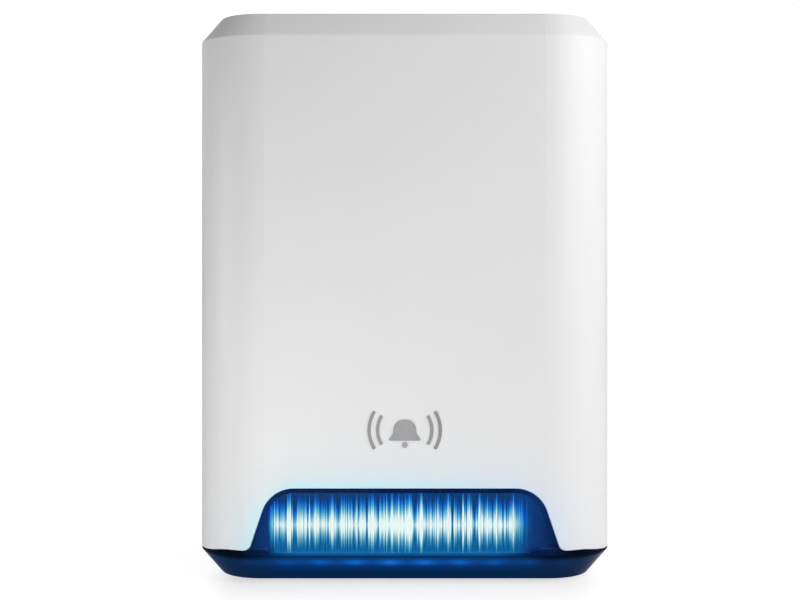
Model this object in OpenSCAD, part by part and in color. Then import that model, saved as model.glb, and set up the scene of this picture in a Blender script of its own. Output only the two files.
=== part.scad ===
// Outdoor alarm siren with strobe: a wall plate carrying sounder, batteries, board and strobe,
// and a front cover with a blue lens, hinged along its top edge.
// Origin: centre of the back face, on the wall plane. +Z up, the front faces -Y.

/* [Casing] */
// Overall width
case_w = 200; // [198:1:204]
// Overall height
case_h = 271; // [268:1:276]
// Distance from the wall to the front face
case_d = 70; // [70:1:74]
// Plan radius of the two front corners
corner_r = 31; // [28:1:34]
// How far the sloping edge steps inwards at top and bottom
slope_in = 10; // [8:1:12]
// How high the sloping edge is
slope_h = 11.8; // [11:0.2:13]
// Wall thickness of cover and lens
wall = 2.5; // [2.2:0.1:2.8]

/* [Lens window] */
// Height of the window's top edge above the lower sloping edge
window_rise = 33; // [28:0.5:34]
// Half width of the window at its top, before rounding
window_head = 63.7; // [60:0.1:64]
// Half width of the window at its foot, before rounding
window_foot = 73.8; // [70:0.1:75]
// Radius of the window's upper corners
head_r = 15.6; // [10:0.2:16]
// Radius at the window's foot
foot_r = 4.3; // [3:0.1:5]

/* [Wall fixing] */
// Horizontal distance between fixing holes
fix_w = 160; // [156:1:162]
// Vertical distance between fixing holes
fix_h = 190; // [188:1:194]
// Radius of a fixing hole
fix_r = 2.6; // [2.2:0.1:2.8]

/* [Hinge] */
// Distance of the hinge axis from the wall
hinge_back = 14; // [14:0.5:15]
// Depth of the hinge axis below the top face
hinge_drop = 7; // [7:0.5:7.5]

/* [Hidden] */
$fn = 48;

// ---- derived casing values
top_z = case_h / 2;
slope_z = top_z - slope_h;             // height of both sloping edges, above and below the centre
flat_half = case_w / 2 - corner_r;     // half width of the flat part of the front
arc_y = corner_r - case_d;             // depth of the corner arcs' centres
front_in = wall - case_d;              // inside of the front wall
rear_y = -2;                           // rear edge of cover and lens, just off the wall
window_z = window_rise - slope_z;      // window's top edge
lobe_z = 2.9 - slope_z;                // lower edge of the cover beside the window
edge_z = 0.2 - slope_z;                // the same edge where it meets the sides
lobe_x = 86;                           // where that edge starts to fall towards the sides
hinge_y = -hinge_back;
hinge_z = top_z - hinge_drop;
hinge_x = 73;                          // middle of each hinge
pin_r = 1.5;

// ---- wall plate values
plate_t = 3;
plate_gap = 4;                         // from the casing's outside to the plate's edge
plate_top = hinge_z - 15;              // the cover's rear edge swings down to just above this
rim_t = 2;
rim_d = 11;
boss_d = 6;                            // how far the fixing bosses reach from the wall

fix_points = [for (x = [-1, 1]) for (z = [-1, 1]) [x * fix_w, z * fix_h] / 2];

// ---- positions of what the plate carries
board = [[8, -72], [90, 30]];          // lower left and upper right corner of the main board
board_y = -16;
board_t = 1.6;
board_front = board_y - board_t;
board_holes = [for (x = [13, 85]) for (z = [-67, 25]) [x, z]];
sounder = [-46, -18];
sounder_r = 38;
sounder_back = -12;
sounder_d = 24;
ear_at = 29;                           // offset of each fixing ear from the sounder's axis
cell_r = 17;
cell_len = 61.5;
cell_gap = 0.05;                       // between the two cells of a row
cell_y = -25.4;
row_pitch = 35.2;
battery_z = 74;
holder_back = -6;
holder_half = [67.5, 37.2];
strobe_z = -105;
strobe_half = [64, 14];
strobe_back = -46;
strobe_front = -60;
strobe_posts = [for (x = [-48, 48]) [x, strobe_z]];
lamp_pitch = 16;
lead_slot = [30, strobe_z];             // where the strobe leads pass through the reflector
grommet = [0, -80];
grommet_r = 10;
cable_r = 4;
wall_tamper = [36, -88];
cover_tamper = [72, 4];
lever_y = -26.8;
post_x = 79;
reset = [50, 20];
screw_y = -12;
screw_r = 2;
foot_z = -top_z;                       // underside of the lens tray

// ---- geometry helpers
function unit(v) = v / norm(v);
function flip(points) = [for (i = [len(points) - 1:-1:0]) [-points[i].x, points[i].y]];

// Arc that rounds the corner at p between its neighbours a and b
function round_corner(a, p, b, r, n) =
    r <= 0 ? [p] :
    let (u = unit(a - p), v = unit(b - p), half = acos(u * v) / 2,
         centre = p + unit(u + v) * r / sin(half),
         start = p + u * r / tan(half) - centre,
         end = p + v * r / tan(half) - centre,
         from = atan2(start.y, start.x),
         turn = (atan2(end.y, end.x) - from + 540) % 360 - 180)
    [for (i = [0:n]) centre + r * [cos(from + turn * i / n), sin(from + turn * i / n)]];

// Closed outline with every corner rounded by its own radius
function rounded(points, radii, n = 8) =
    let (m = len(points))
    [for (i = [0:m - 1])
        each round_corner(points[(i + m - 1) % m], points[i], points[(i + 1) % m], radii[i], n)];

// Closed anticlockwise outline moved inwards by t, with mitred corners
function inset(points, t) =
    let (m = len(points))
    [for (i = [0:m - 1])
        let (d = unit(points[i] - points[(i + m - 1) % m]), e = unit(points[(i + 1) % m] - points[i]),
             p = [-d.y, d.x], q = [-e.y, e.x])
        points[i] + (p + q) * t / (1 + p * q)];

// Put children on a plane that faces the front: local x is X, local y is Z, local z points to -Y
module facing(x, y, z) {
    translate([x, y, z]) rotate([90, 0, 0]) children();
}

// Extrude a front-view outline from depth y0 (nearer the wall) to y1 (nearer the front)
module slab(y0, y1) {
    facing(0, y0, 0) linear_extrude(height = y0 - y1) children();
}

module rod(r, h, hole = 0, depth = 0) {
    difference() {
        cylinder(r = r, h = h);
        if (hole > 0) translate([0, 0, h - depth]) cylinder(r = hole, h = depth + 1);
    }
}

// Tube swept along a smooth curve through a list of points
function curve_point(p, i, t) =
    let (a = p[max(i - 1, 0)], b = p[i], c = p[i + 1], d = p[min(i + 2, len(p) - 1)])
    0.5 * (2 * b + (c - a) * t + (2 * a - 5 * b + 4 * c - d) * t * t + (3 * b - a - 3 * c + d) * t * t * t);
function curve(p, steps) =
    [for (i = [0:len(p) - 2]) for (s = [0:steps - 1]) curve_point(p, i, s / steps), p[len(p) - 1]];
function square_to(n, t) = unit(n - (n * t) * t);
function any_side(t) = abs(t.z) < 0.8 ? [0, 0, 1] : [1, 0, 0];
module sweep(q, r, sides = 8) {
    m = len(q);
    t = [for (i = [0:m - 1]) unit(q[min(i + 1, m - 1)] - q[max(i - 1, 0)])];
    side = [for (i = 0, n = square_to(any_side(t[0]), t[0]); i < m;
                 i = i + 1, n = square_to(n, t[min(i, m - 1)])) n];
    points = [for (i = [0:m - 1]) for (k = [0:sides - 1])
        let (a = 360 * k / sides, other = cross(t[i], side[i]))
        q[i] + r * (cos(a) * side[i] + sin(a) * other)];
    walls = [for (i = [0:m - 2]) for (k = [0:sides - 1])
        let (k2 = (k + 1) % sides, a = i * sides + k, b = a + sides, c = (i + 1) * sides + k2, d = c - sides)
        each [[a, b, c], [a, c, d]]];
    first = [for (k = [0:sides - 1]) k];
    last = [for (k = [sides - 1:-1:0]) (m - 1) * sides + k];
    polyhedron(points = points, faces = concat([first], walls, [last]), convexity = 8);
}
module wire(points, r = 0.8) {
    sweep(curve(points, 5), r);
}
// Coil spring along local z, with its axis at the origin
module coil(r, length, turns, wire_r, steps = 10) {
    rise = (length - 2 * wire_r) / (turns * steps);
    sweep([for (i = [0:turns * steps])
        [r * cos(360 * i / steps), r * sin(360 * i / steps), wire_r + rise * i]],
        wire_r, 6);
}

// ---- casing shape
// Half silhouette seen from the front, right side, from bottom to top
casing_corners = [[case_w / 2 - slope_in, -top_z], [case_w / 2, -slope_z], [case_w / 2, slope_z],
                  [case_w / 2 - slope_in, top_z]];
function silhouette(t) = inset(concat(casing_corners, flip(casing_corners)), t);

// Side line of the casing at wall depth t, as [distance from the corner arc's centre, height]
function side_line(t, r) =
    let (s = silhouette(t), round = rounded(s, [for (p = s) r], 4))
    [for (p = round) if (p.x > 0) [p.x - flat_half, p.y]];

// Solid block with the casing's outside shape, moved inwards by t
module loaf(t, back, r = 0) {
    side = side_line(t, r);
    low = side[0].y;
    high = side[len(side) - 1].y;
    half = [for (p = side) [flat_half + p.x, p.y]];
    translate([0, back, 0]) rotate([90, 0, 0])
        linear_extrude(height = back - arc_y) polygon(concat(half, flip(half)));
    translate([-flat_half, 0, 0]) rotate([90, 0, 90])
        linear_extrude(height = 2 * flat_half)
            polygon(concat([[arc_y, high]], flip([for (p = side) [p.x - arc_y, p.y]]), [[arc_y, low]]));
    for (corner = [[1, -90], [-1, 180]])
        translate([corner[0] * flat_half, arc_y, 0]) rotate([0, 0, corner[1]])
            rotate_extrude(angle = 90) polygon(concat([[0, low]], side, [[0, high]]));
}

module shell(t0, t1, r = 0) {
    difference() {
        loaf(t0, rear_y, r);
        loaf(t1, 1);
    }
}

// Front-view region that belongs to the lens, moved inwards by t
function lens_region(t) =
    let (far = case_w, fall = (lobe_z - edge_z) / (case_w / 2 - lobe_x),
         right = [[far, -far], [far, lobe_z - fall * (far - lobe_x)], [lobe_x, lobe_z], [window_foot, lobe_z],
                  [window_head, window_z]],
         radii = [0, 0, 30, foot_r + t, head_r - t])
    rounded(inset(concat(right, flip(right)), t), concat(radii, [for (i = [4:-1:0]) radii[i]]), 10);

// ---- front cover
module hinge_lug(x, width) {
    translate([x - width / 2, 0, 0]) rotate([90, 0, 90]) difference() {
        linear_extrude(height = width) union() {
            translate([hinge_y, hinge_z]) circle(r = 4);
            translate([hinge_y - 4, hinge_z]) square([8, hinge_drop - wall + 0.4]);
        }
        translate([hinge_y, hinge_z, -1]) cylinder(r = pin_r, h = width + 2);
    }
}

module front_cover() {
    color("white") {
        difference() {
            shell(0, wall, 1.6);
            slab(5, -case_d - 5) polygon(lens_region(0));
            lens_screw_holes();
        }
        for (side = [-1, 1]) for (at = [-5.7, 5.7]) hinge_lug(side * (hinge_x + at), 4.8);
        intersection() {
            tamper_post();
            loaf(wall / 2, 1);
        }
        cover_ribs();
        difference() {
            for (p = lens_screw_points) lens_boss(p);
            lens_screw_holes();
        }
    }
}

// Post that presses the tamper lever when the cover is shut
post_tip = lever_y - 0.95;
module tamper_post() {
    facing(post_x, post_tip, cover_tamper.y) {
        cylinder(r = 2.5, h = 12);
        translate([0, 0, 12]) cylinder(r = 3.5, h = 34);
    }
    for (turn = [0, 90]) facing(post_x, -48, cover_tamper.y) rotate([0, 0, turn])
        translate([-7, -0.8, 0]) cube([14, 1.6, 24]);
}

// Short boss that a lens screw goes into; it passes through the ear of the lens flange
module lens_boss(p) {
    facing(p.x, flange_y[0], p.y) cylinder(r = 2.6, h = flange_y[0] - front_in + 0.3);
}

module lens_screw_holes() {
    for (p = lens_screw_points) facing(p.x, flange_y[0] + 1, p.y) cylinder(r = 0.9, h = 4.5);
}

// Stiffening ribs inside the front wall, above the window
module cover_ribs() {
    for (x = [-40, 0, 40]) translate([x - 0.8, front_in - 0.3, -70]) cube([1.6, 3.3, 170]);
    for (z = [-70.8, 98.4]) translate([-60, front_in - 0.3, z]) cube([120, 3.3, 1.6]);
}

// ---- lens and tray
lens_screw_points = [for (x = [-54, -20, 20, 54]) [x, window_z + 8.5]];
slot_xs = [for (side = [-1, 1]) for (i = [0:8]) side * (22 + 6 * i)];
slot_y = [-48, -22];
module strobe_lens() {
    color([0.04, 0.15, 0.5, 0.7]) difference() {
        union() {
            intersection() {
                shell(0, wall, 1.6);
                slab(5, -case_d - 5) polygon(lens_region(0.25));
            }
            lens_flange();
            for (p = lens_screw_points) facing(p.x, flange_y[0], p.y) cylinder(r = 5.5, h = 2);
            for (side = [-1, 1])
                translate([side * (case_w / 2 - wall - 1.2) - 1, arc_y + 2, -slope_z - 2.5])
                    cube([2, 24, 9]);
            translate([-9, -22, foot_z + wall - 0.3]) cube([18, 22 + rear_y, 3.8]);
        }
        for (x = slot_xs) translate([x - 1.5, slot_y[0], foot_z - 1])
            cube([3, slot_y[1] - slot_y[0], wall + 2]);
        screw_slot(4.7, foot_z - 1, foot_z + 3.6);
        screw_slot(2.3, foot_z, foot_z + 8);
        for (p = lens_screw_points) facing(p.x, flange_y[0] + 1, p.y) cylinder(r = 2.8, h = 4);
    }
}

module lens_screws() {
    color("silver") for (p = lens_screw_points) facing(p.x, flange_y[0] + 0.6, p.y) {
        difference() {
            cylinder(r = 4.2, h = 0.6);
            for (turn = [0, 90]) rotate([0, 0, turn]) translate([-1.6, -0.3, -0.1]) cube([3.2, 0.6, 0.5]);
        }
        translate([0, 0, 0.6]) cylinder(r = 0.85, h = 3.4);
    }
}

module screw_slot(r, z0, z1) {
    translate([0, screw_y, z0]) cylinder(r = r, h = z1 - z0);
    translate([-r, screw_y, z0]) cube([2 * r, 20, z1 - z0]);
}

// Flat flange behind the cover's front wall, around the window
flange_y = [front_in + 2.6, front_in + 0.6];
module flange_outline(grow, cut) {
    intersection() {
        difference() {
            polygon(lens_region(-grow));
            polygon(lens_region(cut));
        }
        translate([-flat_half, -slope_z + 1]) square([2 * flat_half, case_h]);
    }
}
module lens_flange() {
    slab(flange_y[0], flange_y[1]) flange_outline(5, 2.5);
    slab(flange_y[1] + 0.5, front_in - 0.3) flange_outline(-0.25, 2.5);
}

module lens_seal() {
    color("black") slab(flange_y[1], front_in) flange_outline(4.5, -0.8);
}

// Fluted light guide behind the window
flute_pitch = 2.2;
guide_half = 66;
guide_t = 1.8;
module lens_diffuser() {
    flutes = floor(2 * guide_half / flute_pitch);
    face = [for (i = [0:flutes - 1]) for (k = [0:3])
        [(i + k / 4 - flutes / 2) * flute_pitch, guide_t + 0.9 * sin(180 * k / 4)]];
    edge = flutes * flute_pitch / 2;
    color([0.7, 0.85, 1, 0.6]) translate([0, flange_y[0], -slope_z + 1.5]) linear_extrude(height = 29.5)
        polygon(concat([[edge, guide_t], [edge, 0], [-edge, 0]], face));
}

// Generic alarm mark: a bell under two sound arcs
badge_at = [0, -63];
module arc_band(r, w, spread) {
    steps = 12;
    polygon([for (i = [0:steps]) let (a = 90 - spread + 2 * spread * i / steps) (r + w) * [cos(a), sin(a)],
             for (i = [steps:-1:0]) let (a = 90 - spread + 2 * spread * i / steps) r * [cos(a), sin(a)]]);
}
module badge() {
    bell = [[-8, -5], [8, -5], [5.6, -1.6], [5, 5], [-5, 5], [-5.6, -1.6]];
    color("gray") facing(badge_at.x, -case_d, badge_at.y) linear_extrude(height = 0.3) {
        polygon(rounded(bell, [0.6, 0.6, 3, 4.8, 4.8, 3], 6));
        translate([0, -7]) circle(r = 1.4);
        for (turn = [-90, 90]) for (r = [12, 16]) rotate(turn) arc_band(r, 1.6, 32);
    }
}

module hinge_pins() {
    color("silver") for (side = [-1, 1])
        translate([side * hinge_x - 8.6, hinge_y, hinge_z]) rotate([0, 90, 0])
            cylinder(r = pin_r - 0.01, h = 17.2);
}

// Stainless insect screen on the tray floor over the sound slots
module sound_mesh() {
    color("gray") for (side = [-1, 1])
        translate([side * 46, (slot_y[0] + slot_y[1]) / 2, foot_z + wall]) linear_extrude(height = 0.5)
            difference() {
                square([56, 32], center = true);
                for (i = [-5:5]) translate([-26, i * 2.6 - 0.9]) square([52, 1.8]);
            }
}

// ---- wall plate
function plate_outline(t) =
    let (s = silhouette(plate_gap + t))
    [[s[7].x, s[7].y], [s[0].x, s[0].y], [s[1].x, s[1].y], [s[1].x, plate_top - t], [-s[1].x, plate_top - t],
     [s[6].x, s[6].y]];
module plate_shape(t) {
    polygon(rounded(plate_outline(t), [2, 2, 2, 6 - t, 6 - t, 2], 5));
}

module backplate() {
    color("whitesmoke") difference() {
        union() {
            slab(0, -plate_t) plate_shape(0);
            slab(-plate_t + 0.5, -rim_d) difference() {
                plate_shape(0);
                plate_shape(rim_t);
            }
            plate_ribs();
            for (p = fix_points) facing(p.x, -1, p.y) cylinder(r = 6, h = boss_d - 1);
            for (p = board_holes) facing(p.x, -1, p.y) rod(3.2, -board_y - 1, 1.1, 9);
            for (p = ear_points()) facing(p.x, -1, p.y) rod(3.6, -sounder_back - 1, 1.2, 8);
            for (p = holder_points()) facing(p.x, -1, p.y) cylinder(r = 4, h = -holder_back - 1);
            for (side = [-1, 1]) hinge_arm(side * hinge_x);
            screw_boss();
            wall_tamper_guide();
        }
        for (p = fix_points) facing(p.x, 1, p.y) cylinder(r = fix_r, h = boss_d + 2);
        facing(grommet.x, 1, grommet.y) cylinder(r = grommet_r, h = plate_t + 2);
        facing(wall_tamper.x, 1, wall_tamper.y) cylinder(r = 2.7, h = plate_t + 2);
        facing(wall_tamper.x, -plate_t, wall_tamper.y) cylinder(r = 3.6, h = 20);
        translate([0, screw_y, foot_z + 6]) cylinder(r = screw_r + 0.06, h = 15);
        for (p = holder_points()) facing(p.x, -plate_t, p.y) cylinder(r = 1.2, h = 10);
        for (p = strobe_posts) facing(p.x, 1, p.y) cylinder(r = spigot_r + 0.1, h = plate_t + 2);
        facing(grommet.x, 1, grommet.y) cylinder(r = grommet_r + 2.2, h = 2.1);
        // notch for the lens's slotted pad
        translate([-9.6, -rim_d - 1, foot_z]) cube([19.2, rim_d + 2, 6.3]);
    }
}

module plate_ribs() {
    for (z = [-64, 30.6]) translate([-93, -plate_t - 3, z]) cube([186, 3.4, 1.6]);
    for (x = [-92, 91]) translate([x, -plate_t - 3, -110]) cube([1.4, 3.4, 205]);
}

module hinge_arm(x) {
    low = plate_top - 13;
    translate([x - 3, 0, 0]) rotate([90, 0, 90]) difference() {
        linear_extrude(height = 6) union() {
            translate([hinge_y, hinge_z]) circle(r = 3.8);
            polygon([[hinge_y - 3.8, hinge_z], [hinge_y - 3.8, low + 8], [-10, low], [-1, low],
                     [-1, plate_top], [hinge_y + 3.8, plate_top], [hinge_y + 3.8, hinge_z]]);
        }
        translate([hinge_y, hinge_z, -1]) cylinder(r = pin_r + 0.05, h = 8);
    }
}

// Block that the cover screw threads into
module screw_boss() {
    translate([-7, -19, foot_z + 6.5]) cube([14, 18, 16]);
    for (x = [-7, 5]) translate([x, -19, foot_z + 20]) cube([2, 17, 12]);
}

module wall_tamper_guide() {
    facing(wall_tamper.x, -1, wall_tamper.y) cylinder(r = 5.2, h = 12);
    for (x = [-9, 9]) facing(wall_tamper.x + x, -1, wall_tamper.y) cylinder(r = 2, h = 14.5);
}

module cable_grommet() {
    color("dimgray") facing(grommet.x, 0, grommet.y) difference() {
        union() {
            cylinder(r = grommet_r + 2, h = 1);
            cylinder(r = grommet_r - 0.1, h = plate_t + 3);
            translate([0, 0, plate_t + 0.05]) cylinder(r = grommet_r + 2, h = 1.6);
        }
        translate([0, 0, -1]) cylinder(r = cable_r, h = 10);
    }
}

module cover_screw() {
    color("silver") translate([0, screw_y, 0]) difference() {
        union() {
            translate([0, 0, foot_z + 2.3]) cylinder(r = screw_r, h = 16);
            translate([0, 0, foot_z + 0.1]) cylinder(r = 3.8, h = 2.2);
        }
        translate([0, 0, foot_z]) cylinder(r = 1.45, h = 1.6, $fn = 6);
    }
}

module screw_washer() {
    color("dimgray") translate([0, screw_y, foot_z + 2.35]) difference() {
        cylinder(r = 4.2, h = 0.8);
        translate([0, 0, -1]) cylinder(r = screw_r + 0.05, h = 3);
    }
}

// ---- main board
module on_board(x, z) {
    facing(x, board_front, z) children();
}
module block(w, h, d) {
    translate([-w / 2, -h / 2, 0]) cube([w, h, d]);
}

module main_board() {
    color("seagreen") slab(board_y, board_front) difference() {
        polygon(rounded([board[0], [board[1].x, board[0].y], board[1], [board[0].x, board[1].y]],
                        [2, 2, 2, 2], 4));
        for (p = board_holes) translate(p) circle(r = 1.6);
    }
}

module pan_screw(r, head_r, length, head_h = 1.6) {
    difference() {
        union() {
            translate([0, 0, -length]) cylinder(r = r, h = length);
            cylinder(r = head_r, h = head_h);
        }
        for (turn = [0, 90]) rotate([0, 0, turn]) translate([-head_r * 0.6, -0.3, head_h - 0.8])
            cube([head_r * 1.2, 0.6, 2]);
    }
}
module board_screws() {
    color("silver") for (p = board_holes) on_board(p.x, p.y) pan_screw(1.05, 2.8, 8);
}

module radio_module() {
    color("gainsboro") on_board(28, 4) {
        block(18, 26, 0.8);
        translate([0, -3, 0.8]) block(15, 17, 2.2);
    }
}
module antenna() {
    color("goldenrod") on_board(28, 17.6) translate([0, 0, 3.4]) rotate([-90, 0, 0]) coil(2.4, 11, 6, 0.35);
}
module processor() {
    color([0.12, 0.12, 0.13]) on_board(56, -14) {
        block(10, 10, 1.4);
        for (turn = [0:3]) rotate([0, 0, turn * 90]) for (i = [-4:4])
            translate([i * 1 - 0.2, 4.9, 0]) cube([0.4, 1.4, 0.5]);
    }
}
module power_coil() {
    color("orange") on_board(28, -34) {
        cylinder(r = 8, h = 1.6);
        translate([0, 0, 1.6]) cylinder(r = 6.6, h = 6.4);
        translate([0, 0, 8]) cylinder(r = 8, h = 1.6);
    }
}
module capacitors() {
    color("black") for (c = [[48, -38, 5, 13], [61, -38, 5, 13], [74, -38, 4, 11], [76, -24, 3.1, 9]])
        on_board(c[0], c[1]) difference() {
            cylinder(r = c[2], h = c[3]);
            translate([0, 0, 1.6]) rotate_extrude() translate([c[2] + 0.3, 0]) circle(r = 0.8);
        }
}
module small_components() {
    rows = [[42, 10, 6], [42, 5, 6], [42, 0, 6], [68, -12, 5], [68, -16, 5], [12, -20, 6], [12, 4, 1],
            [24, -62, 3]];
    color("tan") for (row = rows) for (i = [0:row[2] - 1])
        on_board(row[0] + 4 * i, row[1]) block(2.4, 1.4, 0.8);
}
module terminal_block() {
    color("green") on_board(58, -64) difference() {
        block(35, 9, 11);
        for (i = [0:6]) translate([-15 + i * 5, 0, 0]) {
            translate([-1.9, -6, 2]) cube([3.8, 6, 4]);
            translate([0, 0, 8]) cylinder(r = 1.8, h = 4);
        }
    }
}
module terminal_screws() {
    color("silver") for (i = [0:6]) on_board(58 - 15 + i * 5, -64) translate([0, 0, 8.9]) difference() {
        translate([0, 0, -0.9]) cylinder(r = 1.75, h = 2.2);
        translate([-1.5, -0.25, 0.7]) cube([3, 0.5, 1]);
    }
}
socket_at = [[76, 22], [16, -52], [84, -50]];
module lead_sockets() {
    color("ivory") for (p = socket_at) on_board(p[0], p[1]) difference() {
        block(8, 6, 6);
        translate([0, 0, 1.5]) block(6.4, 4.4, 6);
    }
}
// Plugs on the leads, pushed into their sockets
plug_front = board_front - 7.7;
module lead_plugs() {
    color("ivory") for (p = socket_at) on_board(p[0], p[1]) translate([0, 0, 1.7]) {
        block(6, 4, 6);
        for (x = [-1.8, 1.8]) translate([x, 2.1, 4.8]) block(1, 0.6, 1.2);
    }
}
module status_light() {
    color("lime") on_board(62, 20) {
        cylinder(r = 1.9, h = 0.8);
        cylinder(r = 1.5, h = 3);
    }
}
module button_switch() {
    color("darkgray") on_board(reset.x, reset.y) difference() {
        block(6, 6, 3.5);
        translate([0, 0, 1.2]) cylinder(r = 1.85, h = 3);
    }
}
module reset_button() {
    color("black") on_board(reset.x, reset.y) translate([0, 0, 1.6]) cylinder(r = 1.75, h = 3.6);
}

// ---- cover tamper: small switch with a sprung lever
module tamper_switch() {
    color([0.15, 0.15, 0.17]) {
        on_board(cover_tamper.x, cover_tamper.y) block(13, 6.5, 8);
        for (z = [-2.85, 2.15]) translate([cover_tamper.x - 6.4, lever_y - 1, cover_tamper.y + z])
            cube([2, 2.4, 0.7]);
        translate([cover_tamper.x - 5.4, lever_y, cover_tamper.y - 2.4]) cylinder(r = 0.5, h = 4.8);
    }
}
module tamper_lever() {
    color("silver") translate([cover_tamper.x - 5.4, lever_y, cover_tamper.y - 2]) difference() {
        union() {
            cylinder(r = 0.95, h = 4);
            translate([0, -0.8, 0]) cube([15.6, 0.4, 4]);
            translate([6, -0.8, 0]) cube([0.4, 0.9, 4]);
        }
        translate([0, 0, -1]) cylinder(r = 0.56, h = 6);
    }
}

// ---- wall tamper: plunger through the plate that a wall holds in
module wall_tamper_plunger() {
    color("red") facing(wall_tamper.x, 0, wall_tamper.y) {
        cylinder(r = 2.5, h = 8);
        translate([0, 0, 6.5]) cylinder(r = 3.4, h = 1.5);
        cylinder(r = 1.5, h = 15.2);
    }
}
module wall_tamper_spring() {
    color("silver") facing(wall_tamper.x, -8.1, wall_tamper.y) coil(2.6, 6.9, 4, 0.3, 12);
}
module wall_tamper_switch() {
    color([0.15, 0.15, 0.17]) facing(wall_tamper.x, -15.5, wall_tamper.y) {
        block(22, 6.5, 6.5);
        for (x = [-6, 0, 6]) translate([x - 0.4, -1.2, 6]) cube([0.8, 2.4, 4]);
    }
}

// ---- batteries
function holder_points() = [for (x = [-56, 56]) for (z = [-26, 26]) [x, battery_z + z]];
module battery_holder() {
    w = holder_half.x;
    h = holder_half.y;
    color([0.13, 0.13, 0.14]) difference() {
        translate([-w, -46, battery_z - h]) cube([2 * w, 46 + holder_back, 2 * h]);
        translate([-w + 2, -50, battery_z - h + 2]) cube([2 * w - 4, 50 + holder_back - 2, 2 * h - 4]);
        // finger openings in the long walls
        for (x = [-33, 33]) translate([x - 22, -50, battery_z - h - 1]) cube([44, 22, 2 * h + 2]);
        for (p = holder_points()) facing(p.x, 0, p.y) cylinder(r = 1.7, h = 12);
    }
    color([0.13, 0.13, 0.14]) for (x = [-60, -2, 56])
        translate([x, -14, battery_z - 1.2]) cube([4, 14 + holder_back - 1, 2.4]);
}
module holder_screws() {
    color("silver") for (p = holder_points())
        facing(p.x, holder_back - 2, p.y) pan_screw(1.15, 2.8, 4.5, 1.1);
}
plate_x = holder_half.x - 2.6;         // where a cell's button meets its contact plate
spring_len = 2 * plate_x + 0.5 - 2 * cell_len - cell_gap;
// Upper row points right, lower row points left
// The second cell of a row is next to the contact plate
module battery(i) {
    side = i < 2 ? 1 : -1;
    x = plate_x - (1.5 - i % 2) * cell_len - (1 - i % 2) * cell_gap;
    color("darkorange") translate([side * x, cell_y, battery_z + side * row_pitch / 2])
        rotate([0, side * 90, 0]) translate([0, 0, -cell_len / 2]) {
        rotate_extrude() polygon(concat([[0, 0.4], [8, 0.4], [8, 0]],
            rounded([[cell_r, 0], [cell_r, cell_len - 1.5], [9.5, cell_len - 1.5]], [0.8, 1.2, 0], 4),
            [[4.7, cell_len - 1.5], [4.7, cell_len], [0, cell_len]]));
    }
}
module battery_springs() {
    color("silver") for (side = [-1, 1])
        translate([side * (2 - holder_half.x), cell_y, battery_z + side * row_pitch / 2])
            rotate([0, side * 90, 0]) coil(5.5, spring_len, 3, 0.6);
}
module battery_plates() {
    color("silver") for (side = [-1, 1])
        translate([side * (plate_x + 0.3) - 0.3, cell_y - 6, battery_z + side * row_pitch / 2 - 6])
            cube([0.6, 12, 12]);
}

// ---- sounder
function ear_points() = [for (x = [-1, 1]) for (z = [-1, 1]) sounder + ear_at * [x, z]];
module sounder_housing() {
    color([0.16, 0.16, 0.18]) difference() {
        union() {
            facing(sounder.x, sounder_back, sounder.y) cylinder(r = sounder_r, h = sounder_d);
            for (p = ear_points()) facing(p.x, sounder_back, p.y) cylinder(r = 5, h = 4);
        }
        facing(sounder.x, sounder_back - 3, sounder.y) {
            cylinder(r = 29, h = 30);
            translate([0, 0, 4]) cylinder(r = 33, h = 30);
            translate([0, 0, 17]) cylinder(r = sounder_r - 2.2, h = 30);
        }
        for (p = ear_points()) facing(p.x, 0, p.y) cylinder(r = 1.7, h = 40);
    }
}
module disc(r, y, t) {
    facing(sounder.x, y, sounder.y) cylinder(r = r, h = t);
}
module sounder_gasket() {
    color("black") facing(sounder.x, -19, sounder.y) difference() {
        cylinder(r = 32.8, h = 1);
        translate([0, 0, -1]) cylinder(r = 29, h = 4);
    }
}
module piezo_disc() {
    color("gold") disc(32.5, -20, 0.6);
}
module piezo_ceramic() {
    color("ivory") disc(22, -20.6, 0.4);
}
// Front of the sounder: flared ring with a plug on three spokes
module sounder_horn() {
    color([0.2, 0.2, 0.22]) facing(sounder.x, sounder_back, sounder.y) {
        rotate_extrude() polygon([[29, 8.8], [32.6, 8.8], [32.6, 20.1], [35.6, 20.1], [35.6, 25.6],
                                  [32, 25.6], [24, 20], [20, 13], [20, 10.5], [29, 10.5]]);
        rotate_extrude() polygon([[0, 12.5], [9, 12.5], [12.5, 14.5], [9, 21], [3, 25.2], [0, 25.6]]);
        for (i = [0:2]) rotate([0, 0, 90 + i * 120]) translate([9, -1.1, 14.2]) cube([14, 2.2, 5]);
    }
}
module sounder_screws() {
    color("silver") for (p = ear_points()) facing(p.x, sounder_back - 4, p.y) pan_screw(1.15, 2.9, 10);
}

// ---- strobe
module strobe_reflector() {
    w = strobe_half.x;
    h = strobe_half.y;
    color("white") difference() {
        facing(0, strobe_back, strobe_z) {
            translate([-w, -h, 0]) cube([2 * w, 2 * h, strobe_back - strobe_front]);
        }
        facing(0, strobe_back - 2, strobe_z) translate([-w, 0, 0]) rotate([90, 0, 90])
            linear_extrude(height = 2 * w)
                polygon([[-6.5, 0], [6.5, 0], [6.5, 3], [12.4, 14], [-12.4, 14], [-6.5, 3]]);
        for (p = strobe_posts) facing(p.x, 0, p.y) cylinder(r = 1.7, h = 60);
        facing(lead_slot.x, strobe_back + 1, lead_slot.y) block(8, 4, 6);
    }
    color("white") for (side = [-1, 1]) facing(side * (w - 1), strobe_back, strobe_z)
        block(2, 2 * h, strobe_back - strobe_front);
}
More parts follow.
